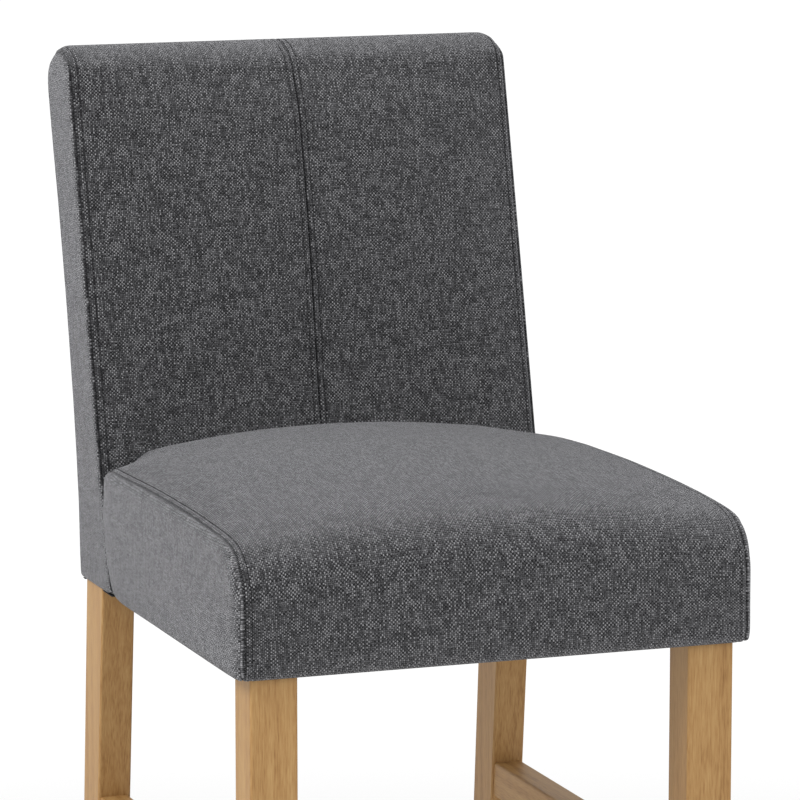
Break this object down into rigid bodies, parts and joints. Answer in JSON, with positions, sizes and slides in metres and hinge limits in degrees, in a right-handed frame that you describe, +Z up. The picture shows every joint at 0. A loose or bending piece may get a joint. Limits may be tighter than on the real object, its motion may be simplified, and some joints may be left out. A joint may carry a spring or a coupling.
{
  "type": "bar stool",
  "caption": "Upholstered bar stool: a crowned seat and a raked, centre-seamed back in heathered grey cloth on square wooden legs with stretchers and a footrest rail.",
  "frame": {"origin": "on the floor, under the middle of the stool's box", "axes": "+Z up from the floor, +Y from the front edge of the seat to the back, +X to the sitter's left, which is the right in a view from the front"},
  "size_m": [0.44, 0.5874, 1.064],
  "materials": {
    "leg_wood": "honey oak, satin lacquer",
    "frame_wood": "sawn hardwood, unfinished",
    "plywood": "sanded plywood, unfinished",
    "zinc_steel": "zinc plated",
    "glide_plastic": "moulded, matt dark brown",
    "foam": "open-cell foam",
    "wadding": "polyester wadding",
    "dust_cloth": "black non-woven cloth",
    "cover_cloth": "heathered charcoal-grey linen weave"
  },
  "bodies": {
    "root": {"front_leg_left": "leg_wood", "front_leg_right": "leg_wood", "rear_post_left": "leg_wood", "rear_post_right": "leg_wood", "footrest_rail": "leg_wood", "rear_stretcher": "leg_wood", "side_stretcher_left": "leg_wood", "side_stretcher_right": "leg_wood", "seat_front_rail": "frame_wood", "seat_rear_rail": "frame_wood", "seat_side_rail_left": "frame_wood", "seat_side_rail_right": "frame_wood", "corner_block_front_left": "frame_wood", "corner_block_front_right": "frame_wood", "corner_block_rear_left": "frame_wood", "corner_block_rear_right": "frame_wood", "seat_deck": "plywood", "back_top_rail": "frame_wood", "back_lower_rail": "frame_wood", "back_board": "plywood", "seat_frame_tenons": "frame_wood", "back_frame_tenons": "frame_wood", "seat_screws": "zinc_steel", "foot_glides": "glide_plastic", "seat_foam": "foam", "seat_wadding_front": "wadding", "seat_wadding_left": "wadding", "seat_wadding_right": "wadding", "seat_dust_cover": "dust_cloth", "seat_cover_top": "cover_cloth", "seat_cover_left": "cover_cloth", "seat_cover_right": "cover_cloth", "back_foam": "foam", "back_wadding": "wadding", "back_dust_cover": "dust_cloth", "back_cover_left": "cover_cloth", "back_cover_right": "cover_cloth", "back_side_panel_left": "cover_cloth", "back_side_panel_right": "cover_cloth"}
  },
  "joints": []
}
